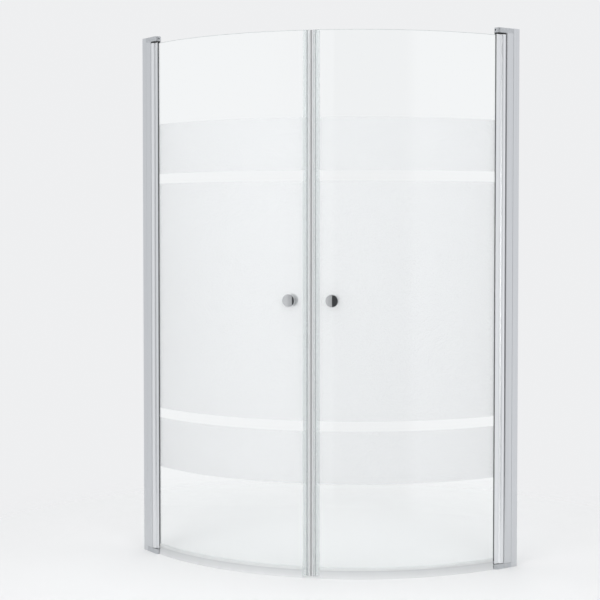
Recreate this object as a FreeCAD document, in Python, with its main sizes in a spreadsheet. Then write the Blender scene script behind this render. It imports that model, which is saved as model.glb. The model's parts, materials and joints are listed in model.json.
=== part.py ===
import FreeCAD, Part
import math
import os
import re

import Sketcher

# A corner shower screen: two curved glass doors that hang on wall profiles and meet at a magnetic seal.
# The left wall is the plane at minus X, the back wall the plane at plus Y, and the floor is Z zero.
# The left half is built piece by piece and the right half is its mirror image.

# Driving sizes, in millimetres and degrees
SIZES = {
    # The whole screen
    "overall_width": 1000,
    "screen_height": 1950,
    "pivot_offset": 72,
    "profile_width": 30,
    # Clearances
    "press_gap": 0.02,
    "fit_gap": 0.05,
    "slide_gap": 0.3,
    "cup_gap": 0.6,
    "thrust_gap": 0.1,
    "glazing_gap": 0.15,
    "overrun": 5,
    # Wall channel and its cap
    "channel_depth": 28,
    "channel_web": 2,
    "channel_wall": 1.8,
    "fixing_hole": 5.5,
    "fixing_margin": 120,
    "cap_plate": 4,
    "cap_leg": 1.5,
    "corner_round": 0.8,
    # Adjusting profile
    "adjust_room": 6,
    "tongue_wall": 1.6,
    "joint_gap": 0.4,
    "head_web": 3.6,
    "head_wall": 1.8,
    "cup_wall": 3,
    "cup_half_angle": 52,
    "lip_slant": 3.4,
    # Screws that lock the adjusting profile, and their covers
    "screw_shank": 3.8,
    "screw_head": 7.5,
    "screw_head_height": 2.4,
    "screw_socket": 3.4,
    "screw_socket_depth": 1.6,
    "screw_length": 6,
    "lock_margin": 300,
    "lock_inset": 17,
    "cover_rim": 1.8,
    "cover_top": 1.2,
    # Pivot brackets and their screws
    "bracket_height": 18,
    "nose_forward": 16,
    "bracket_round": 2,
    "spigot_length": 40,
    "bracket_screw_length": 11,
    "set_screw": 6,
    "set_screw_length": 26,
    "set_screw_socket": 3,
    "set_screw_socket_depth": 3,
    # Pivot pins and bushes
    "pin": 8,
    "pin_grip": 14,
    "pin_reach": 26,
    "pin_tip": 1,
    "bush_sleeve_length": 24,
    "flange_inset": 1,
    "top_gap": 6,
    "bottom_gap": 2,
    # Pivot profile
    "pivot": 30,
    "pivot_bore": 13,
    "pivot_wall": 1.8,
    "bore_wall": 2,
    "rib_half_angle": 8,
    "chamber_angle": 72,
    "slot_floor": 9,
    "jaw_wall": 2.2,
    "outer_jaw": 31,
    "inner_jaw": 28,
    # Glazing gasket
    "gasket_side": 1.6,
    "gasket_floor": 1,
    "bead_width": 2.5,
    "bead_proud": 1.4,
    "bead_edge": 0.4,
    # Glass
    "glass": 6,
    "glass_top_inset": 2,
    "glass_bottom_inset": 10,
    # Knobs, their stud and washers
    "knob_level": 980,
    "knob_from_joint": 75,
    "knob_hole": 10,
    "knob": 45,
    "knob_thickness": 11,
    "knob_round": 2.5,
    "knob_dome": 75,
    "knob_neck": 13,
    "knob_neck_length": 14,
    "knob_foot": 17,
    "knob_foot_height": 3,
    "stud": 6,
    "stud_grip": 16,
    "washer": 18,
    "washer_thickness": 1.5,
    "collar_length": 2.6,
    # Magnetic seal
    "seal_gap": 0.9,
    "seal_bottom": 8,
    "magnet_depth": 6,
    "magnet_half": 3.2,
    "key_half": 1.4,
    "key_depth": 2.8,
    "carrier_depth": 5,
    "carrier_half": 4.4,
    "waist_half": 1.8,
    "waist_length": 2.2,
    "clip_web": 1.8,
    "clip_wall": 1.8,
    "clip_grip": 14,
    # Bottom seal
    "seal_end_gap": 1,
    "lip_clearance": 1,
    "lip_wall": 2.2,
    "lip_flare": 3,
    "fin_wall": 1.4,
    "bottom_clip_web": 1.8,
    "bottom_clip_wall": 1.5,
    "bottom_clip_grip": 10,
}

FIXING_HOLES = 4
LOCKING_SCREWS = 3
BRACKET_COUNT = 2
HEXAGON = 6
UPRIGHT = FreeCAD.Vector(0, 0, 1)
TOLERANCE = 1e-6

# Half of the right angle between the walls is the arc of one door
DOOR_ARC_ANGLE = "45"

# Places that follow from the sizes
PIVOT_X = "(pivot_offset - overall_width / 2)"
PIVOT_Y = "(profile_width - overall_width) / 2"
ARC_RADIUS = "(overall_width - profile_width / 2 - pivot_offset)"
HALF_WIDTH = "(profile_width / 2)"
CHANNEL_EDGE = "(channel_depth - pivot_offset)"
HEAD_BACK = f"({CHANNEL_EDGE} + joint_gap)"
CUP_RADIUS = "(pivot / 2 + cup_gap)"
TONGUE_HALF = f"({HALF_WIDTH} - channel_wall - slide_gap)"
CHAMBER_BACK = f"({HEAD_BACK} + head_web + head_wall)"
CHAMBER_FRONT = f"(-{CUP_RADIUS} - cup_wall)"
CHAMBER_HALF = f"({HALF_WIDTH} - head_wall)"
SPIGOT_MIDDLE = f"(({CHAMBER_BACK} + {CHAMBER_FRONT}) / 2)"
LOCK_PLACE = "(lock_inset - pivot_offset)"
SLOT_HALF = "(glass / 2 + gasket_side)"
JAW_HALF = f"({SLOT_HALF} + jaw_wall)"
NOSE_END = f"(nose_forward + {HALF_WIDTH})"
GLASS_START = "(slot_floor + gasket_floor)"
BEAD_END = "(outer_jaw + bead_width)"
OUTER_GRIP = f"({ARC_RADIUS} + glass / 2 + glazing_gap)"
INNER_GRIP = f"({ARC_RADIUS} - glass / 2 - glazing_gap)"
PROFILE_FOOT = "(bracket_height + bottom_gap)"
PROFILE_TOP = "(screen_height - bracket_height - top_gap)"
GLASS_TOP = f"({PROFILE_TOP} - glass_top_inset)"
GLASS_BOTTOM = f"({PROFILE_FOOT} + glass_bottom_inset)"
MAGNET_BACK = "(seal_gap / 2 + magnet_depth)"
CARRIER_BACK = f"({MAGNET_BACK} + carrier_depth)"
CLIP_FRONT = f"({CARRIER_BACK} + waist_length)"
GLASS_EDGE = f"({CLIP_FRONT} + clip_web)"
CLIP_BACK = f"({GLASS_EDGE} + clip_grip)"
KNOB_ANGLE = f"({DOOR_ARC_ANGLE} - 180 / pi * knob_from_joint / {ARC_RADIUS})"
SCREW_SPACING = f"((screen_height - 2 * lock_margin) / {LOCKING_SCREWS - 1})"
BRACKET_SCREW_LEVEL = "(bracket_height + spigot_length / 2)"

doc = FreeCAD.newDocument("shower_screen")
sheet = doc.addObject("Spreadsheet::Sheet", "sizes")
for row, (word, value) in enumerate(SIZES.items(), 1):
    sheet.set(f"A{row}", word)
    sheet.set(f"B{row}", str(value))
    sheet.setAlias(f"B{row}", word)
doc.recompute()


def formula(text):
    """An expression in which each size is read from the sheet."""
    return re.sub(r"[a-z_]+", lambda word: f"sizes.{word[0]}" if word[0] in SIZES else word[0], text)


def number(text):
    """What a formula comes to now."""
    result = sheet.evalExpression(formula(text))
    return float(getattr(result, "Value", result))


def bind(item, **formulas):
    """Ties properties of an object to formulas of the sheet's sizes."""
    for name, text in formulas.items():
        item.setExpression(name, formula(text))


def new_body(name):
    """An empty body whose label names its file."""
    body = doc.addObject("PartDesign::Body", name)
    body.Label = name
    return body


def place(body, x="0", y="0", z="0"):
    """Sets a body's origin in the screen's frame."""
    for axis, text in zip("xyz", (x, y, z)):
        body.setExpression(f"Placement.Base.{axis}", formula(text))


def place_at_pivot(body, z="0"):
    """Sets a body's origin on the pivot axis: X leaves the wall, and Y points into the shower."""
    place(body, PIVOT_X, PIVOT_Y, z)


def place_on_arc(body, angle, z="0"):
    """Sets a body's origin on the glass line, an angle round from the pivot: X follows the glass."""
    x = f"{PIVOT_X} + {ARC_RADIUS} * sin({angle})"
    y = f"{PIVOT_Y} + {ARC_RADIUS} * (1 - cos({angle}))"
    place(body, x, y, z)
    body.setExpression("Placement.Rotation.Angle", formula(angle))


def place_at_arc_centre(body, angle, z="0"):
    """Sets a body's origin on the axis of the glass's arc, turned by an angle."""
    place(body, PIVOT_X, f"{PIVOT_Y} + {ARC_RADIUS}", z)
    body.setExpression("Placement.Rotation.Angle", formula(angle))


def new_sketch(body, role, level="0"):
    """A sketch on one of the body's own origin planes, or at a level above it."""
    plane = next(feature for feature in body.Origin.OriginFeatures if feature.Role == role)
    sketch = body.newObject("Sketcher::SketchObject", body.Name + "_sketch")
    sketch.AttachmentSupport = [(plane, "")]
    sketch.MapMode = "FlatFace"
    sketch.setExpression("AttachmentOffset.Base.z", formula(level))
    return sketch


def hold(sketch, kind, places, text):
    """Adds a dimension to a sketch and ties it to a formula."""
    index = sketch.addConstraint(Sketcher.Constraint(kind, *places, number(text)))
    name = f"{kind}_{index}"
    sketch.renameConstraint(index, name)
    sketch.setExpression(f"Constraints.{name}", formula(text))


def hold_point(sketch, edge, end, x, y):
    """Fixes one point of a sketch by its two coordinates."""
    hold(sketch, "DistanceX", (-1, 1, edge, end), x)
    hold(sketch, "DistanceY", (-1, 1, edge, end), y)


def arc_edge(start, end, radius, turn):
    """An arc of under a half circle, and the numbers of its start and end points."""
    along = end - start
    aside = FreeCAD.Vector(-along.y, along.x, 0).normalize()
    height = math.sqrt(max(radius**2 - (along.Length / 2) ** 2, 0))
    centre = (start + end) / 2 + aside * height * turn
    first, last = (start, end) if turn > 0 else (end, start)
    angles = [math.atan2(p.y - centre.y, p.x - centre.x) for p in (first, last)]
    if angles[1] < angles[0]:
        angles[1] += 2 * math.pi
    arc = Part.ArcOfCircle(Part.Circle(centre, UPRIGHT, radius), *angles)
    return arc, (1, 2) if turn > 0 else (2, 1)


def outline(sketch, corners):
    """Draws a closed outline. A corner is x and y, and a radius and a turn where an arc starts there."""
    points = [FreeCAD.Vector(number(x), number(y), 0) for x, y, *_ in corners]
    edges = []
    for start, end, (_, _, *arc) in zip(points, points[1:] + points[:1], corners):
        if arc:
            radius, turn = arc
            shape, ends = arc_edge(start, end, number(radius), turn)
        else:
            shape, ends = Part.LineSegment(start, end), (1, 2)
        edges.append((sketch.addGeometry(shape, False), *ends))
    for (edge, _, end), (following, start, _) in zip(edges, edges[1:] + edges[:1]):
        sketch.addConstraint(Sketcher.Constraint("Coincident", edge, end, following, start))
    for (edge, start, _), (x, y, *arc) in zip(edges, corners):
        hold_point(sketch, edge, start, x, y)
        if arc:
            radius, _ = arc
            hold(sketch, "Radius", (edge,), radius)


def ring(sketch, x, y, diameter):
    """Draws a circle."""
    centre = FreeCAD.Vector(number(x), number(y), 0)
    edge = sketch.addGeometry(Part.Circle(centre, UPRIGHT, number(diameter) / 2), False)
    hold_point(sketch, edge, 3, x, y)
    hold(sketch, "Diameter", (edge,), diameter)


def mirrored(corners):
    """The corners of a half outline, followed by their images on the other side of the X axis."""
    arcs_before = [()] + [arc for _, _, *arc in corners[:-1]]
    images = [(x, f"-({y})", *arc) for (x, y, *_), arc in zip(corners, arcs_before)]
    return corners + images[::-1]


def extrude(body, sketch, length):
    """Pads a section upwards."""
    pad = body.newObject("PartDesign::Pad", body.Name + "_pad")
    pad.Profile = sketch
    bind(pad, Length=length)
    return pad


def cut(body, sketch, length, reverse=False):
    """Pockets a section against the sketch's normal, or along it, and makes sure that it cuts."""
    doc.recompute()
    before = body.Shape.Volume
    pocket = body.newObject("PartDesign::Pocket", body.Name + "_pocket")
    pocket.Profile = sketch
    pocket.Reversed = reverse
    bind(pocket, Length=length)
    doc.recompute()
    if not body.Shape.Volume < before:
        raise RuntimeError(f"a pocket of {body.Label} cuts nothing")
    return pocket


def turn(body, sketch, angle="360"):
    """Revolves a section about the sketch's vertical axis."""
    revolution = body.newObject("PartDesign::Revolution", body.Name + "_revolution")
    revolution.Profile = sketch
    revolution.ReferenceAxis = (sketch, ["V_Axis"])
    bind(revolution, Angle=angle)
    return revolution


def repeat(body, features, role, length, count):
    """Repeats features along one of the body's own axes."""
    axis = next(feature for feature in body.Origin.OriginFeatures if feature.Role == role)
    pattern = body.newObject("PartDesign::LinearPattern", body.Name + "_pattern")
    pattern.Originals = features
    pattern.Direction = (axis, [""])
    bind(pattern, Length=length)
    pattern.Occurrences = count
    body.Tip = pattern
    return pattern


def socket(body, level, across, depth):
    """Sinks a hexagonal socket into the top of a screw."""
    hexagon = new_sketch(body, "XY_Plane", level)
    corner = f"{across} / sqrt(3)"
    angles = [i * 360 / HEXAGON for i in range(HEXAGON)]
    outline(hexagon, [(f"{corner} * cos({angle})", f"{corner} * sin({angle})") for angle in angles])
    return cut(body, hexagon, depth)


def arc_angle(distance):
    """The turn of the glass's inner face, in degrees, over a short distance along it."""
    return f"(180 / pi * {distance} / ({ARC_RADIUS} - glass))"


def grip_face(distance, side):
    """How far a grip on the outer (-1) or inner (1) face is from the tangent, a distance along it."""
    radius = OUTER_GRIP if side < 0 else INNER_GRIP
    return f"({ARC_RADIUS} - sqrt({radius}^2 - ({distance})^2))"


def wall_channel():
    """U extrusion that is screwed to the wall."""
    body = new_body("left_wall_channel")
    inside = f"({HALF_WIDTH} - channel_wall)"
    section = new_sketch(body, "XY_Plane")
    outline(
        section,
        mirrored(
            [
                ("-pivot_offset", HALF_WIDTH),
                (f"{CHANNEL_EDGE} - corner_round", HALF_WIDTH, "corner_round", -1),
                (CHANNEL_EDGE, f"{HALF_WIDTH} - corner_round"),
                (CHANNEL_EDGE, inside),
                ("channel_web - pivot_offset", inside),
            ]
        ),
    )
    extrude(body, section, "screen_height")
    wall_holes = new_sketch(body, "YZ_Plane")
    for i in range(FIXING_HOLES):
        spacing = f"(screen_height - 2 * fixing_margin) / {FIXING_HOLES - 1}"
        ring(wall_holes, "0", f"fixing_margin + {i} * {spacing}", "fixing_hole")
    cut(body, wall_holes, "pivot_offset + overrun")
    lock_holes = new_sketch(body, "XZ_Plane")
    for i in range(LOCKING_SCREWS):
        ring(lock_holes, LOCK_PLACE, f"lock_margin + {i} * {SCREW_SPACING}", "screw_shank + 2 * fit_gap")
    cut(body, lock_holes, "profile_width")
    place_at_pivot(body)
    return body


def channel_cap():
    """Plastic plug in the channel's top, whose legs stand on the adjusting profile."""
    body = new_body("left_channel_cap")
    back = "(channel_web + slide_gap - pivot_offset)"
    tongue_back = "(channel_web + adjust_room - pivot_offset)"
    side = f"({HALF_WIDTH} - channel_wall - slide_gap)"
    plate = new_sketch(body, "XY_Plane", "bracket_height - cap_plate")
    outline(plate, mirrored([(back, side), (CHANNEL_EDGE, side)]))
    extrude(body, plate, "cap_plate")
    legs = new_sketch(body, "XY_Plane")
    for sign in ("", "-"):
        outline(
            legs,
            [
                (tongue_back, f"{sign}{side}"),
                (tongue_back, f"{sign}({side} - cap_leg)"),
                (CHANNEL_EDGE, f"{sign}({side} - cap_leg)"),
                (CHANNEL_EDGE, f"{sign}{side}"),
            ],
        )
    extrude(body, legs, "bracket_height - cap_plate / 2")
    place_at_pivot(body, "screen_height - bracket_height")
    return body


def adjusting_profile():
    """Extrusion that slides in the wall channel and ends in a cup round the pivot profile."""
    body = new_body("left_adjusting_profile")
    tongue_back = "(channel_web + adjust_room - pivot_offset)"
    tongue_inside = f"({TONGUE_HALF} - tongue_wall)"
    lip_x = f"(-{CUP_RADIUS} * cos(cup_half_angle))"
    lip_y = f"({CUP_RADIUS} * sin(cup_half_angle))"
    section = new_sketch(body, "XY_Plane")
    outline(
        section,
        [
            (tongue_back, TONGUE_HALF),
            (HEAD_BACK, TONGUE_HALF),
            (HEAD_BACK, f"{HALF_WIDTH} - corner_round", "corner_round", -1),
            (f"{HEAD_BACK} + corner_round", HALF_WIDTH),
            (f"{lip_x} - lip_slant", HALF_WIDTH),
            (lip_x, lip_y, CUP_RADIUS, 1),
            (f"-{CUP_RADIUS}", "0", CUP_RADIUS, 1),
            (lip_x, f"-{lip_y}"),
            (f"{lip_x} - lip_slant", f"-{HALF_WIDTH}"),
            (f"{HEAD_BACK} + corner_round", f"-{HALF_WIDTH}", "corner_round", -1),
            (HEAD_BACK, f"corner_round - {HALF_WIDTH}"),
            (HEAD_BACK, f"-{TONGUE_HALF}"),
            (tongue_back, f"-{TONGUE_HALF}"),
            (tongue_back, f"-{tongue_inside}"),
            (f"{HEAD_BACK} + head_web", f"-{tongue_inside}"),
            (f"{HEAD_BACK} + head_web", tongue_inside),
            (tongue_back, tongue_inside),
        ],
    )
    outline(section, mirrored([(CHAMBER_BACK, CHAMBER_HALF), (CHAMBER_FRONT, CHAMBER_HALF)]))
    extrude(body, section, "screen_height - 2 * bracket_height")
    holes = new_sketch(body, "XZ_Plane")
    for i in range(LOCKING_SCREWS):
        level = f"lock_margin - bracket_height + {i} * {SCREW_SPACING}"
        ring(holes, LOCK_PLACE, level, "screw_shank + 2 * press_gap")
    for level in ("spigot_length / 2", "screen_height - 2 * bracket_height - spigot_length / 2"):
        ring(holes, SPIGOT_MIDDLE, level, "screw_shank + 2 * fit_gap")
    cut(body, holes, "profile_width")
    place_at_pivot(body, "bracket_height")
    return body


def screws(name, x, seat, level, length, spacing, count):
    """A row of pan-head screws that point out of the shower, seated on a face Y from the pivot."""
    body = new_body(name)
    body.AllowCompound = True
    section = new_sketch(body, "XZ_Plane")
    outline(
        section,
        [
            ("0", f"-({length})"),
            ("screw_shank / 2", f"-({length})"),
            ("screw_shank / 2", "0"),
            ("screw_head / 2", "0"),
            ("screw_head / 2", "screw_head_height / 2", "screw_head_height / 2", 1),
            ("screw_head / 2 - screw_head_height / 2", "screw_head_height"),
            ("0", "screw_head_height"),
        ],
    )
    shank = turn(body, section)
    recess = socket(body, "screw_head_height", "screw_socket", "screw_socket_depth")
    repeat(body, [shank, recess], "Y_Axis", spacing, count)
    body.Placement.Rotation = FreeCAD.Rotation(FreeCAD.Vector(-1, 0, 0), 90)
    place(body, f"{PIVOT_X} + {x}", f"{PIVOT_Y} + {seat}", level)
    return body


def locking_screws():
    """Screws that lock the adjusting profile in the wall channel."""
    top = f"(lock_margin + {LOCKING_SCREWS - 1} * {SCREW_SPACING})"
    run = f"{LOCKING_SCREWS - 1} * {SCREW_SPACING}"
    return screws(
        "left_locking_screws", LOCK_PLACE, HALF_WIDTH, top, "screw_length", run, LOCKING_SCREWS
    )


def bracket_screws():
    """Screws that hold the two brackets in the adjusting profile."""
    top = f"(screen_height - {BRACKET_SCREW_LEVEL})"
    run = f"screen_height - 2 * {BRACKET_SCREW_LEVEL}"
    return screws(
        "left_bracket_screws", SPIGOT_MIDDLE, HALF_WIDTH, top, "bracket_screw_length", run, BRACKET_COUNT
    )


def screw_covers():
    """Snap-on covers over the heads of the locking screws."""
    body = new_body("left_screw_covers")
    body.AllowCompound = True
    inside = "(screw_head / 2 + fit_gap)"
    top = "(screw_head_height + cover_top)"
    section = new_sketch(body, "XZ_Plane")
    outline(
        section,
        [
            (inside, "0"),
            (f"{inside} + cover_rim", "0"),
            (f"{inside} + cover_rim", f"{top} - cover_rim", "cover_rim", 1),
            (inside, top),
            ("0", top),
            ("0", "screw_head_height + fit_gap"),
            (inside, "screw_head_height + fit_gap"),
        ],
    )
    shell = turn(body, section)
    repeat(body, [shell], "Y_Axis", f"{LOCKING_SCREWS - 1} * {SCREW_SPACING}", LOCKING_SCREWS)
    body.Placement.Rotation = FreeCAD.Rotation(FreeCAD.Vector(-1, 0, 0), 90)
    level = f"lock_margin + {LOCKING_SCREWS - 1} * {SCREW_SPACING}"
    place(body, f"{PIVOT_X} + {LOCK_PLACE}", f"{PIVOT_Y} + {HALF_WIDTH}", level)
    return body


def bracket(name, rounded_level):
    """Cast bracket with a nose round the pivot pin and a spigot that plugs into the adjusting profile."""
    body = new_body(name)
    plate = new_sketch(body, "XY_Plane")
    outline(
        plate,
        [
            (HEAD_BACK, f"-{HALF_WIDTH}"),
            ("nose_forward", f"-{HALF_WIDTH}", HALF_WIDTH, 1),
            (NOSE_END, "0", HALF_WIDTH, 1),
            ("nose_forward", HALF_WIDTH),
            (HEAD_BACK, HALF_WIDTH),
        ],
    )
    pad = extrude(body, plate, "bracket_height")
    doc.recompute()
    level = number(rounded_level)
    back = number(HEAD_BACK)
    rims = [
        f"Edge{i}"
        for i, edge in enumerate(pad.Shape.Edges, 1)
        if all(math.isclose(vertex.Z, level, abs_tol=TOLERANCE) for vertex in edge.Vertexes)
        and not all(math.isclose(vertex.X, back, abs_tol=TOLERANCE) for vertex in edge.Vertexes)
    ]
    fillet = body.newObject("PartDesign::Fillet", name + "_fillet")
    fillet.Base = (pad, rims)
    bind(fillet, Radius="bracket_round")
    spigot = new_sketch(body, "XY_Plane", "bracket_height / 2")
    spigot_side = f"({CHAMBER_HALF} - slide_gap)"
    spigot_ends = (f"{CHAMBER_BACK} + slide_gap", f"{CHAMBER_FRONT} - slide_gap")
    outline(spigot, mirrored([(end, spigot_side) for end in spigot_ends]))
    extrude(body, spigot, "spigot_length + bracket_height / 2")
    pin_hole = new_sketch(body, "XY_Plane", "bracket_height")
    ring(pin_hole, "0", "0", "pin + 2 * press_gap")
    cut(body, pin_hole, "pin_grip")
    set_hole = new_sketch(body, "YZ_Plane")
    ring(set_hole, "0", "bracket_height / 2", "set_screw + 2 * press_gap")
    cut(body, set_hole, "profile_width + nose_forward", reverse=True)
    screw_hole = new_sketch(body, "XZ_Plane", HALF_WIDTH)
    ring(screw_hole, SPIGOT_MIDDLE, BRACKET_SCREW_LEVEL, "screw_shank + 2 * press_gap")
    cut(body, screw_hole, "profile_width")
    return body


def top_bracket():
    """Cap at the top of the wall profile, which is the foot turned over and rounded on top."""
    body = bracket("left_top_bracket", "0")
    body.Placement.Rotation = FreeCAD.Rotation(FreeCAD.Vector(1, 0, 0), 180)
    place_at_pivot(body, "screen_height")
    return body


def bottom_bracket():
    """Foot on the floor that carries the door."""
    body = bracket("left_bottom_bracket", "bracket_height")
    place_at_pivot(body)
    return body


def pin_set_screws():
    """Grub screws in the brackets' noses that lock the pins."""
    body = new_body("left_pin_set_screws")
    body.AllowCompound = True
    section = new_sketch(body, "XZ_Plane")
    outline(
        section,
        [
            ("0", "0"),
            ("set_screw / 2", "0"),
            ("set_screw / 2", "set_screw_length"),
            ("0", "set_screw_length"),
        ],
    )
    shank = turn(body, section)
    recess = socket(body, "set_screw_length", "set_screw_socket", "set_screw_socket_depth")
    repeat(body, [shank, recess], "X_Axis", "screen_height - bracket_height", BRACKET_COUNT)
    body.Placement.Rotation = FreeCAD.Rotation(FreeCAD.Vector(0, 1, 0), 90)
    place(body, f"{PIVOT_X} + pin / 2 + press_gap", PIVOT_Y, "screen_height - bracket_height / 2")
    return body


def pin(name):
    """Steel pivot pin with a chamfered tip, which stands on its inner end in the bracket."""
    body = new_body(name)
    length = "(pin_grip + pin_reach)"
    section = new_sketch(body, "XZ_Plane")
    outline(
        section,
        [
            ("0", "0"),
            ("pin / 2", "0"),
            ("pin / 2", f"{length} - pin_tip"),
            ("pin / 2 - pin_tip", length),
            ("0", length),
        ],
    )
    turn(body, section)
    return body


def top_pin():
    """Upper pivot pin, which hangs from the top bracket."""
    body = pin("left_top_pin")
    body.Placement.Rotation = FreeCAD.Rotation(FreeCAD.Vector(1, 0, 0), 180)
    place_at_pivot(body, "screen_height - bracket_height + pin_grip")
    return body


def bottom_pin():
    """Lower pivot pin, which stands in the bottom bracket."""
    body = pin("left_bottom_pin")
    place_at_pivot(body, "bracket_height - pin_grip")
    return body


def bush(name, flange_height):
    """Nylon bearing: a sleeve in the profile's bore, and a flange that closes the profile's end."""
    body = new_body(name)
    inside = "pin + 2 * fit_gap"
    radius = "(pivot / 2 - flange_inset)"
    side = f"({JAW_HALF} - flange_inset)"
    root = f"sqrt({radius}^2 - {side}^2)"
    flange = new_sketch(body, "XY_Plane", f"-({flange_height})")
    outline(
        flange,
        [
            ("outer_jaw - flange_inset", f"-{side}"),
            (root, f"-{side}", radius, -1),
            (f"-{radius}", "0", radius, -1),
            (root, side),
            ("inner_jaw - flange_inset", side),
        ],
    )
    ring(flange, "0", "0", inside)
    extrude(body, flange, flange_height)
    sleeve = new_sketch(body, "XY_Plane")
    ring(sleeve, "0", "0", "pivot_bore - 2 * press_gap")
    ring(sleeve, "0", "0", inside)
    extrude(body, sleeve, "bush_sleeve_length")
    return body


def top_bush():
    """Upper bearing, seen as the dark ring under the cap."""
    body = bush("left_top_bush", "top_gap - slide_gap")
    body.Placement.Rotation = FreeCAD.Rotation(FreeCAD.Vector(1, 0, 0), 180)
    place_at_pivot(body, PROFILE_TOP)
    return body


def bottom_bush():
    """Lower bearing, whose flange carries the door's weight on the bottom bracket."""
    body = bush("left_bottom_bush", "bottom_gap - thrust_gap")
    place_at_pivot(body, PROFILE_FOOT)
    return body


def pivot_profile():
    """Round hollow extrusion that turns on the pins and holds the glass in a slot."""
    body = new_body("left_pivot_profile")
    jaw_root = f"sqrt((pivot / 2)^2 - {JAW_HALF}^2)"
    section = new_sketch(body, "XY_Plane")
    outline(
        section,
        [
            ("outer_jaw", f"-{SLOT_HALF}"),
            ("outer_jaw", f"corner_round - {JAW_HALF}", "corner_round", -1),
            ("outer_jaw - corner_round", f"-{JAW_HALF}"),
            (jaw_root, f"-{JAW_HALF}", "pivot / 2", -1),
            ("-pivot / 2", "0", "pivot / 2", -1),
            (jaw_root, JAW_HALF),
            ("inner_jaw - corner_round", JAW_HALF, "corner_round", -1),
            ("inner_jaw", f"{JAW_HALF} - corner_round"),
            ("inner_jaw", SLOT_HALF),
            ("slot_floor", SLOT_HALF),
            ("slot_floor", f"-{SLOT_HALF}"),
        ],
    )
    ring(section, "0", "0", "pivot_bore")
    small = "(pivot_bore / 2 + bore_wall)"
    large = "(pivot / 2 - pivot_wall)"
    first = "(180 - rib_half_angle)"
    last = "(180 - rib_half_angle - chamber_angle)"
    for sign, bend in (("", 1), ("-", -1)):
        outline(
            section,
            [
                (f"{large} * cos{last}", f"{sign}{large} * sin{last}", large, bend),
                (f"{large} * cos{first}", f"{sign}{large} * sin{first}"),
                (f"{small} * cos{first}", f"{sign}{small} * sin{first}", small, -bend),
                (f"{small} * cos{last}", f"{sign}{small} * sin{last}"),
            ],
        )
    extrude(body, section, f"{PROFILE_TOP} - {PROFILE_FOOT}")
    place_at_pivot(body, PROFILE_FOOT)
    return body


def glazing_gasket():
    """Rubber channel round the glass edge, with a bead along the outer jaw."""
    body = new_body("left_glazing_gasket")
    section = new_sketch(body, "XY_Plane")
    outline(
        section,
        [
            ("slot_floor", f"-{SLOT_HALF}"),
            ("outer_jaw", f"-{SLOT_HALF}"),
            ("outer_jaw", f"-({SLOT_HALF} + bead_proud)"),
            (BEAD_END, f"{grip_face(BEAD_END, -1)} - bead_edge"),
            (BEAD_END, grip_face(BEAD_END, -1), OUTER_GRIP, -1),
            (GLASS_START, grip_face(GLASS_START, -1)),
            (GLASS_START, grip_face(GLASS_START, 1), INNER_GRIP, 1),
            ("inner_jaw", grip_face("inner_jaw", 1)),
            ("inner_jaw", SLOT_HALF),
            ("slot_floor", SLOT_HALF),
        ],
    )
    extrude(body, section, f"{GLASS_TOP} - {GLASS_BOTTOM}")
    place_at_pivot(body, GLASS_BOTTOM)
    return body


def glass():
    """Curved pane, bored for the knob's stud."""
    body = new_body("left_glass")
    start = f"({arc_angle(f'({GLASS_START} + fit_gap)')} - {KNOB_ANGLE})"
    end = f"({DOOR_ARC_ANGLE} - {arc_angle(f'({GLASS_EDGE} + fit_gap)')} - {KNOB_ANGLE})"
    large = f"({ARC_RADIUS} + glass / 2)"
    small = f"({ARC_RADIUS} - glass / 2)"
    section = new_sketch(body, "XY_Plane")
    outline(
        section,
        [
            (f"{large} * sin{start}", f"-{large} * cos{start}", large, 1),
            (f"{large} * sin{end}", f"-{large} * cos{end}"),
            (f"{small} * sin{end}", f"-{small} * cos{end}", small, -1),
            (f"{small} * sin{start}", f"-{small} * cos{start}"),
        ],
    )
    extrude(body, section, f"{GLASS_TOP} - {GLASS_BOTTOM}")
    hole = new_sketch(body, "XZ_Plane")
    ring(hole, "0", f"knob_level - {GLASS_BOTTOM}", "knob_hole")
    cut(body, hole, f"{ARC_RADIUS} + glass", reverse=True)
    place_at_arc_centre(body, KNOB_ANGLE, GLASS_BOTTOM)
    return body


def knob(name, side):
    """Turned knob: a foot on the washer, a neck for the fingers and a disc with a domed face."""
    body = new_body(name)
    base = "(glass / 2 + washer_thickness + fit_gap)"
    disc_back = f"({base} + knob_foot_height + knob_neck_length)"
    disc_face = f"({disc_back} + knob_thickness)"
    rim = "(knob / 2)"
    edge = f"({rim} - knob_round)"
    dome_centre = f"({disc_face} - knob_dome)"
    round_level = f"sqrt((knob_dome - knob_round)^2 - {edge}^2)"
    dome_share = "(knob_dome / (knob_dome - knob_round))"
    points = [
        ("stud / 2", base),
        ("knob_foot / 2", base),
        ("knob_foot / 2", f"{base} + knob_foot_height"),
        ("knob_neck / 2", f"{base} + knob_foot_height"),
        ("knob_neck / 2", disc_back),
        (edge, disc_back, "knob_round", side),
        (rim, f"{disc_back} + knob_round"),
        (rim, f"{dome_centre} + {round_level}", "knob_round", side),
        (f"{edge} * {dome_share}", f"{dome_centre} + {round_level} * {dome_share}", "knob_dome", side),
        ("0", disc_face),
        ("0", f"{base} + stud_grip"),
        ("stud / 2", f"{base} + stud_grip"),
    ]
    section = new_sketch(body, "XY_Plane")
    outline(section, [(x, f"{side} * ({y})", *arc) for x, y, *arc in points])
    turn(body, section)
    place_on_arc(body, KNOB_ANGLE, "knob_level")
    return body


def outer_knob():
    """Knob on the room side."""
    return knob("left_outer_knob", -1)


def inner_knob():
    """Knob on the shower side."""
    return knob("left_inner_knob", 1)


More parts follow.
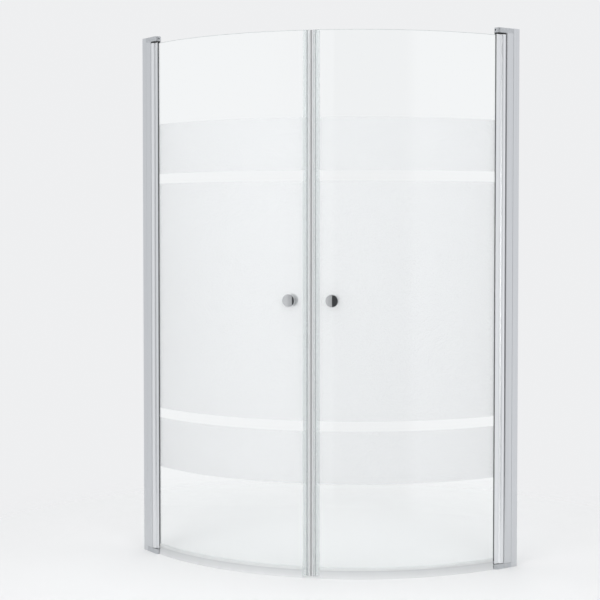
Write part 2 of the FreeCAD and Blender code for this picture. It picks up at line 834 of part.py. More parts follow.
def knob_stud():
    """Threaded stud that joins the two knobs through the glass."""
    body = new_body("left_knob_stud")
    reach = "(glass / 2 + washer_thickness + stud_grip)"
    radius = "(stud / 2 - press_gap)"
    section = new_sketch(body, "XY_Plane")
    outline(section, [("0", f"-{reach}"), (radius, f"-{reach}"), (radius, reach), ("0", reach)])
    turn(body, section)
    place_on_arc(body, KNOB_ANGLE, "knob_level")
    return body


def knob_washers():
    """Clear washers with collars that keep the stud off the glass."""
    body = new_body("left_knob_washers")
    body.AllowCompound = True
    seat = "(glass / 2 + fit_gap)"
    inside = "(stud / 2 + fit_gap)"
    collar = "(knob_hole / 2 - fit_gap)"
    section = new_sketch(body, "XY_Plane")
    outline(
        section,
        [
            (inside, f"{seat} + washer_thickness"),
            ("washer / 2", f"{seat} + washer_thickness"),
            ("washer / 2", seat),
            (collar, seat),
            (collar, f"{seat} - collar_length"),
            (inside, f"{seat} - collar_length"),
        ],
    )
    washer = turn(body, section)
    image = body.newObject("PartDesign::Mirrored", body.Name + "_mirrored")
    plane = next(feature for feature in body.Origin.OriginFeatures if feature.Role == "XZ_Plane")
    image.Originals = [washer]
    image.MirrorPlane = (plane, [""])
    body.Tip = image
    place_on_arc(body, KNOB_ANGLE, "knob_level")
    return body


def seal_clip():
    """Clear extrusion that grips the glass edge and carries the magnet on a narrow waist."""
    body = new_body("left_seal_clip")
    grip_half = "(glass / 2 + clip_wall)"
    outside = [
        (f"-{CLIP_BACK}", f"-{grip_half}"),
        (f"-{CLIP_FRONT}", f"-{grip_half}"),
        (f"-{CLIP_FRONT}", "-waist_half"),
        (f"-{CARRIER_BACK}", "-waist_half"),
        (f"-{CARRIER_BACK}", "-carrier_half"),
        (f"-{MAGNET_BACK}", "-carrier_half"),
        (f"-{MAGNET_BACK}", "-(key_half + press_gap)"),
        (f"-({MAGNET_BACK} + key_depth + press_gap)", "-(key_half + press_gap)"),
    ]
    grip = [
        (f"-{CLIP_BACK}", grip_face(CLIP_BACK, 1), INNER_GRIP, 1),
        (f"-{GLASS_EDGE}", grip_face(GLASS_EDGE, 1)),
        (f"-{GLASS_EDGE}", grip_face(GLASS_EDGE, -1), OUTER_GRIP, -1),
        (f"-{CLIP_BACK}", grip_face(CLIP_BACK, -1)),
    ]
    section = new_sketch(body, "XY_Plane")
    outline(section, mirrored(outside) + grip)
    extrude(body, section, f"{GLASS_TOP} - seal_bottom")
    place_on_arc(body, DOOR_ARC_ANGLE, "seal_bottom")
    return body


def magnet_strip():
    """Magnetic strip with a round nose, keyed into the clip."""
    body = new_body("left_magnet_strip")
    tip = "(seal_gap / 2)"
    shoulder = f"({tip} + magnet_half)"
    section = new_sketch(body, "XY_Plane")
    outline(
        section,
        [
            (f"-{MAGNET_BACK}", "-magnet_half"),
            (f"-{shoulder}", "-magnet_half", "magnet_half", 1),
            (f"-{tip}", "0", "magnet_half", 1),
            (f"-{shoulder}", "magnet_half"),
            (f"-{MAGNET_BACK}", "magnet_half"),
            (f"-{MAGNET_BACK}", "key_half"),
            (f"-({MAGNET_BACK} + key_depth)", "key_half"),
            (f"-({MAGNET_BACK} + key_depth)", "-key_half"),
            (f"-{MAGNET_BACK}", "-key_half"),
        ],
    )
    extrude(body, section, f"{GLASS_TOP} - seal_bottom")
    place_on_arc(body, DOOR_ARC_ANGLE, "seal_bottom")
    return body


def bottom_seal():
    """Curved extrusion under the glass, with a lip and a fin to the floor."""
    body = new_body("left_bottom_seal")
    start = arc_angle(f"(max({NOSE_END}; {BEAD_END}) + seal_end_gap)")
    end = f"({DOOR_ARC_ANGLE} - {arc_angle(f'({CLIP_BACK} + slide_gap)')})"
    grip_top = f"({GLASS_BOTTOM} + bottom_clip_grip)"
    web_bottom = f"({GLASS_BOTTOM} - bottom_clip_web)"
    section = new_sketch(body, "XZ_Plane")
    outline(
        section,
        [
            (INNER_GRIP, GLASS_BOTTOM),
            (INNER_GRIP, grip_top),
            (f"{INNER_GRIP} - bottom_clip_wall", grip_top),
            (f"{INNER_GRIP} - bottom_clip_wall", web_bottom),
            (f"{INNER_GRIP} + fin_wall - bottom_clip_wall", web_bottom),
            (f"{INNER_GRIP} - lip_flare", "lip_clearance + lip_flare"),
            (f"{INNER_GRIP} + fin_wall - lip_flare", "lip_clearance + lip_flare"),
            (f"{INNER_GRIP} + fin_wall", web_bottom),
            (f"{OUTER_GRIP} - lip_wall", web_bottom),
            (f"{OUTER_GRIP} + lip_flare - lip_wall", "lip_clearance"),
            (f"{OUTER_GRIP} + lip_flare", "lip_clearance"),
            (f"{OUTER_GRIP} + bottom_clip_wall", web_bottom),
            (f"{OUTER_GRIP} + bottom_clip_wall", grip_top),
            (OUTER_GRIP, grip_top),
            (OUTER_GRIP, GLASS_BOTTOM),
        ],
    )
    turn(body, section, f"{end} - {start}")
    place_at_arc_centre(body, f"{start} - 90")
    return body


PIECES = (
    wall_channel,
    channel_cap,
    adjusting_profile,
    locking_screws,
    screw_covers,
    top_bracket,
    bottom_bracket,
    bracket_screws,
    pin_set_screws,
    top_pin,
    bottom_pin,
    top_bush,
    bottom_bush,
    pivot_profile,
    glazing_gasket,
    glass,
    outer_knob,
    inner_knob,
    knob_stud,
    knob_washers,
    seal_clip,
    magnet_strip,
    bottom_seal,
)

parts = []
for make in PIECES:
    left = make()
    right = doc.addObject("Part::Mirroring", left.Name.replace("left", "right"))
    right.Label = left.Label.replace("left", "right")
    right.Source = left
    right.Normal = FreeCAD.Vector(1, 1, 0)
    parts += [left, right]
doc.recompute()

for item in doc.Objects:
    if "Invalid" in item.State or "Error" in item.State:
        raise RuntimeError(f"{item.Label} failed: {item.State}")
for part in parts:
    if part.Shape.isNull() or not part.Shape.isValid() or not part.Shape.Solids:
        raise RuntimeError(f"{part.Label} has no valid solid")

os.makedirs("parts", exist_ok=True)
for part in parts:
    part.Shape.exportStep(f"parts/{part.Label}.step")
    print(f"{part.Label}: {len(part.Shape.Solids)} solids, {part.Shape.Volume / 1000:.2f} cm3")
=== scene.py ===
import json
import math

import bmesh
import bpy
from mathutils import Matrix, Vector


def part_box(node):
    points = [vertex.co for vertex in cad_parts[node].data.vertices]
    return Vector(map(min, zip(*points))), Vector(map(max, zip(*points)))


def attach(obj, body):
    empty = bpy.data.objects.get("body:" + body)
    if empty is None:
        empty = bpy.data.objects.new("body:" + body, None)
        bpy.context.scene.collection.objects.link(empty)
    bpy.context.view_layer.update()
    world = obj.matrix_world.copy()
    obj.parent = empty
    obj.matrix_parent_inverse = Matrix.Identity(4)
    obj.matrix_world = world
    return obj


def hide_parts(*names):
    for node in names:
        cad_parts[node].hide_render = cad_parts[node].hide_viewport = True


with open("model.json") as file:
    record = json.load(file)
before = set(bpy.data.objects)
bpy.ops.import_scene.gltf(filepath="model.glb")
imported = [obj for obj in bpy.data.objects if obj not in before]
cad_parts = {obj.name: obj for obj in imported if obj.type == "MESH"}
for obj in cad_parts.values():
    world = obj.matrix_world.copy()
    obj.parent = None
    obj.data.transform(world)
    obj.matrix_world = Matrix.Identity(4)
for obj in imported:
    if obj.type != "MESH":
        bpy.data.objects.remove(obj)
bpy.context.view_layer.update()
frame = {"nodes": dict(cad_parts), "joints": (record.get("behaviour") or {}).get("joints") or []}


# Wall channels
# Two upright U extrusions of aluminium at the outer edges of the screen, satin silver anodised.
# The die leaves fine lines along their length, and screws through the web fix them.
nodes = frame["nodes"]
sides = ("left", "right")
noise_low, noise_high = 0.3, 0.7
die_depth = 0.000006


def shader_of(finish):
    """The shader of a finish."""
    return finish.node_tree.nodes["Principled BSDF"]


def new_finish(name, colour, metal, rough):
    """A material with one shader, whose even values are set on the shader itself."""
    finish = bpy.data.materials.new(name)
    finish.use_nodes = True
    shader = shader_of(finish)
    shader.inputs["Base Color"].default_value = (*colour, 1)
    shader.inputs["Metallic"].default_value = metal
    shader.inputs["Roughness"].default_value = rough
    return finish


def add_node(finish, kind, **settings):
    """A new node of a finish, with its settings."""
    node = finish.node_tree.nodes.new(kind)
    for name, value in settings.items():
        setattr(node, name, value)
    return node


def link(finish, source, target):
    """Joins an output to an input."""
    finish.node_tree.links.new(source, target)


def place_on(finish):
    """Where a point of the piece lies, in metres."""
    return add_node(finish, "ShaderNodeTexCoord").outputs["Object"]


def grain(finish, across, along, detail=2.0):
    """Noise with so many spots to the metre across and along the piece's height."""
    stretch = add_node(finish, "ShaderNodeMapping")
    stretch.inputs["Scale"].default_value = (across, across, along)
    noise = add_node(finish, "ShaderNodeTexNoise")
    noise.inputs["Scale"].default_value = 1.0
    noise.inputs["Detail"].default_value = detail
    link(finish, place_on(finish), stretch.inputs["Vector"])
    link(finish, stretch.outputs["Vector"], noise.inputs["Vector"])
    return noise.outputs["Fac"]


def map_range(finish, source, start, end, low=0.0, high=1.0, **settings):
    """Maps the values between a start and an end onto two limits."""
    limits = add_node(finish, "ShaderNodeMapRange", **settings)
    limits.inputs["From Min"].default_value = start
    limits.inputs["From Max"].default_value = end
    limits.inputs["To Min"].default_value = low
    limits.inputs["To Max"].default_value = high
    link(finish, source, limits.inputs["Value"])
    return limits.outputs["Result"]


def shade(finish, source, dark, light):
    """Colours the shader between a dark and a light tone."""
    ramp = add_node(finish, "ShaderNodeValToRGB")
    first, last = ramp.color_ramp.elements
    first.position, first.color = noise_low, (*dark, 1)
    last.position, last.color = noise_high, (*light, 1)
    link(finish, source, ramp.inputs["Fac"])
    link(finish, ramp.outputs["Color"], shader_of(finish).inputs["Base Color"])


def polish(finish, source, smooth, rough):
    """Lets the roughness wander between two limits."""
    wander = map_range(finish, source, noise_low, noise_high, smooth, rough)
    link(finish, wander, shader_of(finish).inputs["Roughness"])


def relief(finish, source, depth):
    """Raises the surface by a noise, so many metres deep."""
    bump = add_node(finish, "ShaderNodeBump")
    bump.inputs["Distance"].default_value = depth
    link(finish, source, bump.inputs["Height"])
    link(finish, bump.outputs["Normal"], shader_of(finish).inputs["Normal"])


def dress(piece, finish):
    """Gives the left and right node of a piece their finish."""
    for side in sides:
        nodes[f"{side}_{piece}"].material_slots[0].material = finish


def anodised(name, dark, light, metal, smooth, rough):
    """Anodised aluminium with the die's lines along the extrusion."""
    finish = new_finish(name, light, metal, rough)
    die_lines = grain(finish, across=1400, along=0.8, detail=3.0)
    shade(finish, die_lines, dark, light)
    polish(finish, grain(finish, across=260, along=1.5), smooth, rough)
    relief(finish, die_lines, die_depth)
    return finish


satin_aluminium = anodised(
    "satin_aluminium",
    dark=(0.6, 0.615, 0.635),
    light=(0.68, 0.695, 0.715),
    metal=0.9,
    smooth=0.3,
    rough=0.4,
)
dress("wall_channel", satin_aluminium)


# Channel caps
# Grey plastic plugs that close the open tops of the wall channels.
# They are moulded, with a fine spark-eroded grain, and are pressed in from above.
mould_depth = 0.00002


def moulded(name, dark, light, smooth, rough, grains):
    """Moulded plastic with an even fine grain, so many to the metre."""
    finish = new_finish(name, light, metal=0.0, rough=rough)
    spots = grain(finish, across=grains, along=grains)
    shade(finish, grain(finish, across=90, along=90), dark, light)
    polish(finish, spots, smooth, rough)
    relief(finish, spots, mould_depth)
    return finish


grey_plastic = moulded(
    "grey_plastic",
    dark=(0.5, 0.51, 0.53),
    light=(0.56, 0.57, 0.59),
    smooth=0.4,
    rough=0.52,
    grains=1800,
)
dress("channel_cap", grey_plastic)


# Adjusting profiles
# Aluminium extrusions that slide in the wall channels, so that the screen's width can be set.
# Their front is a cup that the round pivot profile turns in.
dress("adjusting_profile", satin_aluminium)


# Locking screws and bracket screws
# Stainless pan-head screws with a hexagonal socket, driven in from the inner side.
# The heads are turned, so they carry a fine dull grain.
turning_depth = 0.000008
stainless_steel = new_finish("stainless_steel", (0.56, 0.57, 0.58), metal=1.0, rough=0.3)
turned = grain(stainless_steel, across=2600, along=2600)
shade(stainless_steel, turned, dark=(0.5, 0.51, 0.52), light=(0.6, 0.61, 0.62))
polish(stainless_steel, grain(stainless_steel, across=700, along=700), smooth=0.22, rough=0.36)
relief(stainless_steel, turned, turning_depth)
dress("locking_screws", stainless_steel)
dress("bracket_screws", stainless_steel)


# Screw covers
# Round caps that snap over the heads of the locking screws.
# They are moulded in the same grey plastic as the channel caps.
dress("screw_covers", grey_plastic)


# Pivot brackets
# Die-cast zinc cap and foot of each side's profile, with a satin silver coat.
# A spigot plugs into the adjusting profile, and the nose holds the pivot pin.
casting_depth = 0.000018
satin_zinc = new_finish("satin_zinc", (0.54, 0.55, 0.57), metal=0.75, rough=0.45)
clouds = grain(satin_zinc, across=120, along=120)
shade(satin_zinc, clouds, dark=(0.51, 0.525, 0.545), light=(0.58, 0.595, 0.615))
polish(satin_zinc, grain(satin_zinc, across=320, along=320), smooth=0.42, rough=0.54)
relief(satin_zinc, grain(satin_zinc, across=900, along=900), casting_depth)
dress("top_bracket", satin_zinc)
dress("bottom_bracket", satin_zinc)


# Set screws
# Grub screws of blackened steel in the noses of the brackets, with a hexagonal socket.
# They are driven in from the end of the nose and lock the pins.
black_steel = new_finish("black_steel", (0.03, 0.03, 0.032), metal=1.0, rough=0.4)
oxide = grain(black_steel, across=3000, along=3000)
shade(black_steel, oxide, dark=(0.018, 0.018, 0.02), light=(0.045, 0.045, 0.048))
polish(black_steel, oxide, smooth=0.34, rough=0.5)
dress("pin_set_screws", black_steel)


# Pivot pins
# Stainless pins that stand in the brackets and reach into the bushes.
# They are ground, so faint rings of the wheel run round them.
ground_steel = new_finish("ground_steel", (0.62, 0.63, 0.64), metal=1.0, rough=0.2)
grinding = grain(ground_steel, across=60, along=4200)
shade(ground_steel, grinding, dark=(0.56, 0.57, 0.58), light=(0.66, 0.67, 0.68))
polish(ground_steel, grinding, smooth=0.14, rough=0.26)
dress("top_pin", ground_steel)
dress("bottom_pin", ground_steel)


# Bushes
# Black nylon bearings that are pressed into both ends of the pivot profile.
# The upper one shows as a dark ring under the cap.
black_nylon = moulded(
    "black_nylon",
    dark=(0.012, 0.012, 0.013),
    light=(0.024, 0.024, 0.026),
    smooth=0.42,
    rough=0.55,
    grains=2400,
)
dress("top_bush", black_nylon)
dress("bottom_bush", black_nylon)


# Pivot profiles
# Round aluminium extrusions that turn on the pins and hold the glass in a slot.
# They are polished before they are anodised, so they are brighter than the channels.
bright_aluminium = anodised(
    "bright_aluminium",
    dark=(0.75, 0.765, 0.785),
    light=(0.82, 0.83, 0.845),
    metal=0.78,
    smooth=0.32,
    rough=0.4,
)
dress("pivot_profile", bright_aluminium)


# Glazing gaskets
# Dark rubber channels that seat the glass in the slot, with a bead along the outer jaw.
# They are extruded, so the faint streaks run along their length.
rubber_depth = 0.00002
dark_rubber = new_finish("dark_rubber", (0.05, 0.052, 0.056), metal=0.0, rough=0.62)
bloom = grain(dark_rubber, across=800, along=6)
shade(dark_rubber, bloom, dark=(0.07, 0.073, 0.077), light=(0.12, 0.123, 0.128))
polish(dark_rubber, bloom, smooth=0.52, rough=0.7)
relief(dark_rubber, grain(dark_rubber, across=2200, along=400), rubber_depth)
dress("glazing_gasket", dark_rubber)


# Glass
# Two curved panes of 6 mm toughened glass with ground edges and a hole for the knob.
# A frost is printed on the inner face, in a band with two clear stripes.
left_pivot, right_pivot = (Vector(joint["pos_m"]) for joint in frame["joints"])
arc_centre = Vector((left_pivot.x, right_pivot.y, 0))
arc_radius = right_pivot.x - left_pivot.x
glass_thickness = 0.006
arris = 0.0007
bend_steps = 96
hole_radius = 0.005
hole_margin = 0.02
hole_sides = 48
drill_length = 4 * glass_thickness
rim_angle = 1.0
least_facing = 0.9
sharp_edge = math.radians(25)
frost_bands = ((0.334, 0.520), (0.556, 1.399), (1.436, 1.621))
frosted_face, edge_face = 1, 2
glass_index = 1.52


def see_through(name, colour, rough, passing, index):
    """A clear or milky finish, through which a share of the light passes."""
    finish = new_finish(name, colour, metal=0.0, rough=rough)
    shader = shader_of(finish)
    shader.inputs["IOR"].default_value = index
    shader.inputs["Transmission Weight"].default_value = passing
    return finish


def blend(finish, share, one, other):
    """One shader where a share is 0, and another where it is 1."""
    both = add_node(finish, "ShaderNodeMixShader")
    link(finish, share, both.inputs["Fac"])
    link(finish, one, both.inputs[1])
    link(finish, other, both.inputs[2])
    return both.outputs["Shader"]


def show(finish, shader):
    """Makes a shader the surface of a finish."""
    link(finish, shader, finish.node_tree.nodes["Material Output"].inputs["Surface"])


def let_lamps_through(finish, passed):
    """Lets the lamps shine through a clear finish, as they do through thin glass."""
    from_lamp = add_node(finish, "ShaderNodeLightPath").outputs["Is Shadow Ray"]
    open_way = add_node(finish, "ShaderNodeBsdfTransparent")
    open_way.inputs["Color"].default_value = (*passed, 1)
    solid = shader_of(finish).outputs["BSDF"]
    show(finish, blend(finish, from_lamp, solid, open_way.outputs["BSDF"]))


clear_glass = see_through(
    "clear_glass", (0.973, 0.984, 0.982), rough=0.0, passing=1.0, index=glass_index
)
polish(clear_glass, grain(clear_glass, across=9, along=9), smooth=0.0, rough=0.025)
let_lamps_through(clear_glass, (0.945, 0.96, 0.955))
frosted_print = see_through(
    "frosted_print", (0.86, 0.868, 0.875), rough=0.3, passing=0.55, index=glass_index
)
frost_grain = grain(frosted_print, across=1600, along=1600)
shade(frosted_print, frost_grain, dark=(0.83, 0.837, 0.846), light=(0.875, 0.881, 0.889))
polish(frosted_print, frost_grain, smooth=0.24, rough=0.36)
let_lamps_through(frosted_print, (0.88, 0.89, 0.895))
ground_edge = see_through(
    "ground_edge", (0.62, 0.7, 0.69), rough=0.4, passing=0.4, index=glass_index
)
edge_grain = grain(ground_edge, across=2200, along=2200)
shade(ground_edge, edge_grain, dark=(0.42, 0.5, 0.49), light=(0.54, 0.62, 0.61))
polish(ground_edge, edge_grain, smooth=0.34, rough=0.48)


def outward(place):
    """The level direction from the arc's axis to a place."""
    return Vector((place.x - arc_centre.x, place.y - arc_centre.y, 0)).normalized()


def new_piece(name, shell):
    """An object made of a finished shell."""
    mesh = bpy.data.meshes.new(name)
    shell.to_mesh(mesh)
    shell.free()
    piece = bpy.data.objects.new(name, mesh)
    bpy.context.scene.collection.objects.link(piece)
    return piece


def bend(side):
    """The sheet of a pane: strips round the arc, and ground arrises along all its edges."""
    low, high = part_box("left_glass")
    stud_low, stud_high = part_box("left_knob_stud")
    knob_level = (stud_low.z + stud_high.z) / 2
    radii = (arc_radius + glass_thickness / 2, arc_radius - glass_thickness / 2)
    first = math.asin((low.x - arc_centre.x) / radii[1])
    last = math.asin((high.x - arc_centre.x) / radii[0])
    levels = {low.z, high.z, knob_level - hole_margin, knob_level + hole_margin}
    for band in frost_bands:
        levels.update(band)
    levels = sorted(levels)
    shell = bmesh.new()
    faces = []
    for radius in radii:
        columns = []
        for i in range(bend_steps + 1):
            angle = first + (last - first) * i / bend_steps
            x = arc_centre.x + radius * math.sin(angle)
            y = arc_centre.y - radius * math.cos(angle)
            columns.append([shell.verts.new((x, y, z)) for z in levels])
        faces.append(columns)
    outer, inner = faces
    for columns in faces:
        for one, two in zip(columns, columns[1:]):
            for a, b, c, d in zip(one, two, two[1:], one[1:]):
                shell.faces.new((a, b, c, d))
    for row in (0, -1):
        for a, b, c, d in zip(outer, outer[1:], inner[1:], inner):
            shell.faces.new((a[row], b[row], c[row], d[row]))
    for end in (0, -1):
        for a, b, c, d in zip(outer[end], outer[end][1:], inner[end][1:], inner[end]):
            shell.faces.new((a, b, c, d))
    if side == "right":
        for corner in shell.verts:
            corner.co = (-corner.co.y, -corner.co.x, corner.co.z)
    bmesh.ops.recalc_face_normals(shell, faces=shell.faces)
    rims = [edge for edge in shell.edges if edge.calc_face_angle(0) > rim_angle]
    bmesh.ops.bevel(shell, geom=rims, offset=arris, segments=1, profile=0.5, affect="EDGES")
    for face in shell.faces:
        middle = face.calc_center_median()
        facing = face.normal.dot(outward(middle))
        if abs(facing) < least_facing:
            face.material_index = edge_face
        elif facing < 0 and any(foot < middle.z < head for foot, head in frost_bands):
            face.material_index = frosted_face
        face.smooth = True
    return new_piece(f"{side}_pane", shell)


def bore(pane, side):
    """Bores the hole for the knob's stud through a pane."""
    low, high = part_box(f"{side}_knob_stud")
    stud = (low + high) / 2
    plug = bmesh.new()
    turn = outward(stud).to_track_quat("Z", "Y").to_matrix().to_4x4()
    turn.translation = stud
    bmesh.ops.create_cone(
        plug,
        cap_ends=True,
        segments=hole_sides,
        radius1=hole_radius,
        radius2=hole_radius,
        depth=drill_length,
        matrix=turn,
    )
    drill = new_piece(f"{side}_drill", plug)
    cut = pane.modifiers.new("hole", "BOOLEAN")
    cut.object = drill
    bpy.context.view_layer.update()
    cut_pane = pane.evaluated_get(bpy.context.evaluated_depsgraph_get())
    bored = bpy.data.meshes.new_from_object(cut_pane)
    pane.modifiers.remove(cut)
    bored.set_sharp_from_angle(angle=sharp_edge)
    pane.data = bored
    bpy.data.objects.remove(drill)


for side in sides:
    pane = bend(side)
    for finish in (clear_glass, frosted_print, ground_edge):
        pane.data.materials.append(finish)
    bore(pane, side)
    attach(pane, f"{side}_door")
    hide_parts(f"{side}_glass")


# Knobs
# Turned brass knobs on both sides of each pane, domed, polished and chrome plated.
# A steel stud through the glass joins each pair.
chrome = new_finish("chrome", (0.62, 0.63, 0.64), metal=1.0, rough=0.06)
smudges = grain(chrome, across=60, along=60)
shade(chrome, smudges, dark=(0.6, 0.61, 0.62), light=(0.65, 0.66, 0.67))
polish(chrome, smudges, smooth=0.03, rough=0.08)
dress("outer_knob", chrome)
dress("inner_knob", chrome)
dress("knob_stud", stainless_steel)


# Seal clips and knob washers
# Clear extrusions that clip over the upright edges of the glass and carry the magnets.
# Where the clip bears on the glass edge, a grey band of painted shade stands for the darker edge
# seen through it. The washers are stamped from clear sheet.
edge_shade_start, edge_shade_full = 0.0125, 0.0132
edge_shade_fades, edge_shade_gone = 0.0156, 0.0163
plastic_index = 1.5
clear_plastic = see_through(
    "clear_plastic", (0.88, 0.9, 0.9), rough=0.12, passing=0.75, index=plastic_index
)
draw_lines = grain(clear_plastic, across=700, along=1.0)
shade(clear_plastic, draw_lines, dark=(0.87, 0.89, 0.893), light=(0.9, 0.918, 0.92))
polish(clear_plastic, draw_lines, smooth=0.08, rough=0.12)


def from_joint(finish, start, end):
    """Goes from 0 to 1 between two distances from the plane in which the doors meet."""
    across = add_node(finish, "ShaderNodeVectorMath", operation="DOT_PRODUCT")
    across.inputs[1].default_value = Vector((1, 1, 0)).normalized()
    apart = add_node(finish, "ShaderNodeMath", operation="ABSOLUTE")
    link(finish, place_on(finish), across.inputs[0])
    link(finish, across.outputs["Value"], apart.inputs[0])
    return map_range(finish, apart.outputs["Value"], start, end)


def product(finish, one, other):
    """The product of two shares."""
    both = add_node(finish, "ShaderNodeMath", operation="MULTIPLY")
    link(finish, one, both.inputs[0])
    link(finish, other, both.inputs[1])
    return both.outputs["Value"]


def second_tone(finish, share, tone):
    """Changes the colour to a second tone where a share is 1."""
    colour = shader_of(finish).inputs["Base Color"]
    tones = add_node(finish, "ShaderNodeMix", data_type="RGBA")
    tones.inputs["B"].default_value = (*tone, 1)
    link(finish, share, tones.inputs["Factor"])
    link(finish, colour.links[0].from_socket, tones.inputs["A"])
    link(finish, tones.outputs["Result"], colour)


# Painted shade: a grey band on the clear clip, where the glass edge shows darker through it.
edge_shade_rise = from_joint(clear_plastic, edge_shade_start, edge_shade_full)
edge_shade_fall = from_joint(clear_plastic, edge_shade_gone, edge_shade_fades)
second_tone(clear_plastic, product(clear_plastic, edge_shade_rise, edge_shade_fall), (0.52, 0.54, 0.55))
let_lamps_through(clear_plastic, (0.8, 0.82, 0.82))
dress("seal_clip", clear_plastic)
dress("knob_washers", clear_plastic)


# Magnet strips
# Flexible strips of dark bonded ferrite in a pale grey sleeve, keyed into the clips.
# They hold the two doors together along the joint, where painted shade darkens them beside the
# narrow gap between the strips.
gap_shade_full = 0.0018
gap_shade_start = 0.0026
grey_magnet = new_finish("grey_magnet", (0.5, 0.505, 0.515), metal=0.0, rough=0.5)
filler = grain(grey_magnet, across=3200, along=3200)
shade(grey_magnet, filler, dark=(0.64, 0.645, 0.655), light=(0.74, 0.745, 0.755))
polish(grey_magnet, filler, smooth=0.42, rough=0.58)
# Painted shade: the strips are made dark close to the joint, where the gap between them is
# shaded.
painted_gap_shade = from_joint(grey_magnet, gap_shade_start, gap_shade_full)
second_tone(grey_magnet, painted_gap_shade, (0.1, 0.102, 0.107))
dress("magnet_strip", grey_magnet)


# Bottom seals
# Extrusions under the panes: a clear hard clip, with a milky soft lip and fin down to the floor.
# They are bent to the glass, so the lines of the die run round the arc.
clip_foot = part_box("left_glass")[0].z
clip_seam = 0.0015
floor_level = 0.0
seal_lines_per_metre = 500
lip_passing, clip_passing = 0.4, 0.6
milky_plastic = see_through(
    "milky_plastic", (0.8, 0.81, 0.82), rough=0.32, passing=lip_passing, index=plastic_index
)


def bent_lines(finish, per_metre):
    """Noise in lines that follow the arc of the doors, so many to the metre."""
    apart = add_node(finish, "ShaderNodeSeparateXYZ")
    flat = add_node(finish, "ShaderNodeCombineXYZ")
    reach = add_node(finish, "ShaderNodeVectorMath", operation="DISTANCE")
    reach.inputs[1].default_value = arc_centre
    section = add_node(finish, "ShaderNodeCombineXYZ")
    noise = add_node(finish, "ShaderNodeTexNoise")
    noise.inputs["Scale"].default_value = per_metre
    link(finish, place_on(finish), apart.inputs["Vector"])
    link(finish, apart.outputs["X"], flat.inputs["X"])
    link(finish, apart.outputs["Y"], flat.inputs["Y"])
    link(finish, flat.outputs["Vector"], reach.inputs[0])
    link(finish, reach.outputs["Value"], section.inputs["X"])
    link(finish, apart.outputs["Z"], section.inputs["Z"])
    link(finish, section.outputs["Vector"], noise.inputs["Vector"])
    return noise.outputs["Fac"]


def by_height(finish, start, end):
    """Goes from 0 to 1 between two heights."""
    apart = add_node(finish, "ShaderNodeSeparateXYZ")
    link(finish, place_on(finish), apart.inputs["Vector"])
    return map_range(finish, apart.outputs["Z"], start, end)


seal_lines = bent_lines(milky_plastic, seal_lines_per_metre)
shade(milky_plastic, seal_lines, dark=(0.74, 0.75, 0.76), light=(0.785, 0.795, 0.805))
polish(milky_plastic, seal_lines, smooth=0.26, rough=0.4)
clip_share = by_height(milky_plastic, clip_foot - clip_seam, clip_foot)
clearing = map_range(milky_plastic, clip_share, 0.0, 1.0, lip_passing, clip_passing)
link(milky_plastic, clearing, shader_of(milky_plastic).inputs["Transmission Weight"])
# Painted light: the lip is made lighter towards the floor, where the floor's light shows through
# it.
painted_floor_light = by_height(milky_plastic, clip_foot, floor_level)
second_tone(milky_plastic, painted_floor_light, (0.89, 0.895, 0.9))
second_tone(milky_plastic, clip_share, (0.97, 0.98, 0.98))
let_lamps_through(milky_plastic, (0.6, 0.61, 0.61))
dress("bottom_seal", milky_plastic)


# Floor
# A plain pale floor, painted matt, on which the feet and the seals of the screen stand.
# It takes their shadow and fades out into the surround.
floor_half = 2.0
fade_start, fade_end = 0.8, 1.9
ground = bmesh.new()
bmesh.ops.create_grid(ground, x_segments=1, y_segments=1, size=floor_half)
floor = new_piece("floor", ground)
floor_paint = new_finish("floor_paint", (0.95, 0.952, 0.954), metal=0.0, rough=0.7)
from_middle = add_node(floor_paint, "ShaderNodeVectorMath", operation="LENGTH")
link(floor_paint, place_on(floor_paint), from_middle.inputs[0])
fade = map_range(
    floor_paint,
    from_middle.outputs["Value"],
    fade_start,
    fade_end,
    interpolation_type="SMOOTHSTEP",
)
paint = shader_of(floor_paint).outputs["BSDF"]
open_floor = add_node(floor_paint, "ShaderNodeBsdfTransparent").outputs["BSDF"]
show(floor_paint, blend(floor_paint, fade, paint, open_floor))
floor.data.materials.append(floor_paint)


# Light
# Soft lamps stand round the screen, and a strip gives the right pivot profile a streak of light.
# The pale surround is darker in front of the screen, so that the knobs have an edge to mirror.
screen_middle = Vector((0, 0, 1))
strip_height = 2.0
surround_tone = (0.84, 0.85, 0.865)
surround_strength = 0.6


def lamp(name, size, place, power):
    """A soft square lamp that faces the middle of the screen and isn't mirrored in it."""
    light = bpy.data.lights.new(name, "AREA")
    light.size = size
    light.energy = power
    stand = bpy.data.objects.new(name, light)
    stand.location = place
    stand.rotation_euler = (screen_middle - Vector(place)).to_track_quat("-Z", "Y").to_euler()
    stand.visible_camera = False
    stand.visible_glossy = False
    stand.visible_transmission = False
    bpy.context.scene.collection.objects.link(stand)
    return stand


lamp("lamp_left", size=3.0, place=(2.4, -5.0, 2.4), power=80)
lamp("lamp_right", size=2.6, place=(5.2, -1.8, 2.4), power=60)
lamp("lamp_above", size=3.0, place=(0.6, -0.6, 4.8), power=60)
lamp("lamp_inside", size=1.8, place=(-2.6, 2.6, 1.1), power=16)
strip = lamp("lamp_strip", size=0.3, place=(3.55, -2.14, 0.9), power=22)
strip.data.shape = "RECTANGLE"
strip.data.size_y = strip_height
strip.visible_glossy = True
strip_lit = bpy.data.collections.new("strip_lit")
strip_lit.objects.link(nodes["right_pivot_profile"])
strip.light_linking.receiver_collection = strip_lit

surround = bpy.data.worlds.new("surround")
bpy.context.scene.world = surround
surround.use_nodes = True


def glow(colour):
    """An even light from all round."""
    light = add_node(surround, "ShaderNodeBackground")
    light.inputs["Color"].default_value = (*colour, 1)
    return light.outputs["Background"]


def zone(source, low, soft_low, high, soft_high):
    """One between two limits of a direction, fading over a soft edge outside each."""
    soft = {"interpolation_type": "SMOOTHSTEP"}
    rise = map_range(surround, source, low - soft_low, low, **soft)
    fall = map_range(surround, source, high, high + soft_high, 1.0, 0.0, **soft)
    return product(surround, rise, fall)


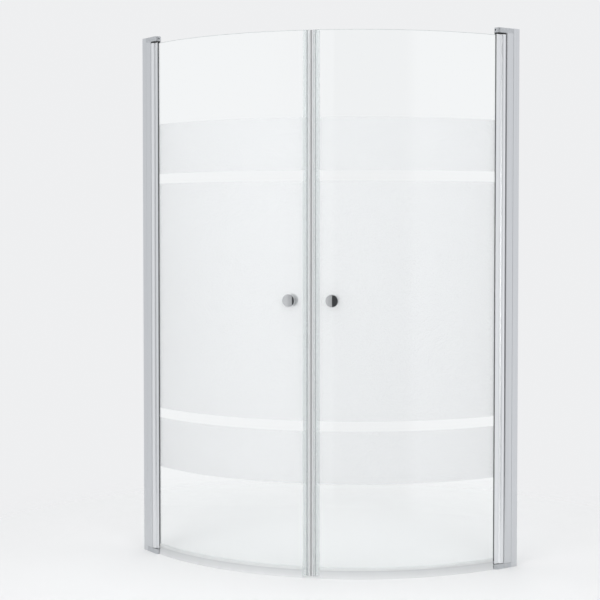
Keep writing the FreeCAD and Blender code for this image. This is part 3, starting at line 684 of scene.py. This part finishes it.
look = add_node(surround, "ShaderNodeTexCoord")
heading = add_node(surround, "ShaderNodeSeparateXYZ")
bearing = add_node(surround, "ShaderNodeMath", operation="ARCTAN2")
link(surround, look.outputs["Generated"], heading.inputs["Vector"])
link(surround, heading.outputs["Y"], bearing.inputs[0])
link(surround, heading.outputs["X"], bearing.inputs[1])
screen_height = zone(heading.outputs["Z"], low=-0.75, soft_low=0.1, high=0.6, soft_high=0.15)


def part_of_surround(other, tone, **limits):
    """A tone of the surround between two bearings, at the height of the screen."""
    extent = product(surround, zone(bearing.outputs["Value"], **limits), screen_height)
    tones = add_node(surround, "ShaderNodeMix", data_type="RGBA")
    tones.inputs["A"].default_value = (*surround_tone, 1)
    if other:
        link(surround, other, tones.inputs["A"])
    tones.inputs["B"].default_value = (*tone, 1)
    link(surround, extent, tones.inputs["Factor"])
    return tones.outputs["Result"]


grey_side = part_of_surround(
    None, (0.64, 0.645, 0.655), low=-0.95, soft_low=0.45, high=-0.7, soft_high=0.05
)
dark_front = part_of_surround(
    grey_side, (0.08, 0.082, 0.086), low=-0.76, soft_low=0.03, high=-0.2, soft_high=0.15
)
bright_side = part_of_surround(
    dark_front, (1.1, 1.1, 1.12), low=0.9, soft_low=0.2, high=2.3, soft_high=0.3
)
mirrored = add_node(surround, "ShaderNodeBackground")
link(surround, bright_side, mirrored.inputs["Color"])
lit = surround.node_tree.nodes["Background"]
lit.inputs["Color"].default_value = (0.97, 0.98, 0.99, 1)
lit.inputs["Strength"].default_value = surround_strength
rays = add_node(surround, "ShaderNodeLightPath").outputs
shown = lit.outputs["Background"]
shown = blend(surround, rays["Is Glossy Ray"], shown, mirrored.outputs["Background"])
shown = blend(surround, rays["Is Transmission Ray"], shown, glow((0.925, 0.93, 0.94)))
shown = blend(surround, rays["Is Camera Ray"], shown, glow((0.86, 0.865, 0.875)))
link(surround, shown, surround.node_tree.nodes["World Output"].inputs["Surface"])


# Camera
# It stands in front of the joint at the photograph's angle and looks down a little.
# A small shift keeps the profiles nearly upright.
eye = bpy.data.cameras.new("camera")
eye.sensor_width = 36.0
eye.lens = 83.01
eye.shift_y = -0.05
camera = bpy.data.objects.new("camera", eye)
camera.location = (4.1969, -2.978, 1.2479)
camera.rotation_euler = (math.radians(88.098), 0, math.radians(55.72))
bpy.context.scene.collection.objects.link(camera)
bpy.context.scene.camera = camera
bpy.context.scene.view_settings.view_transform = "Standard"
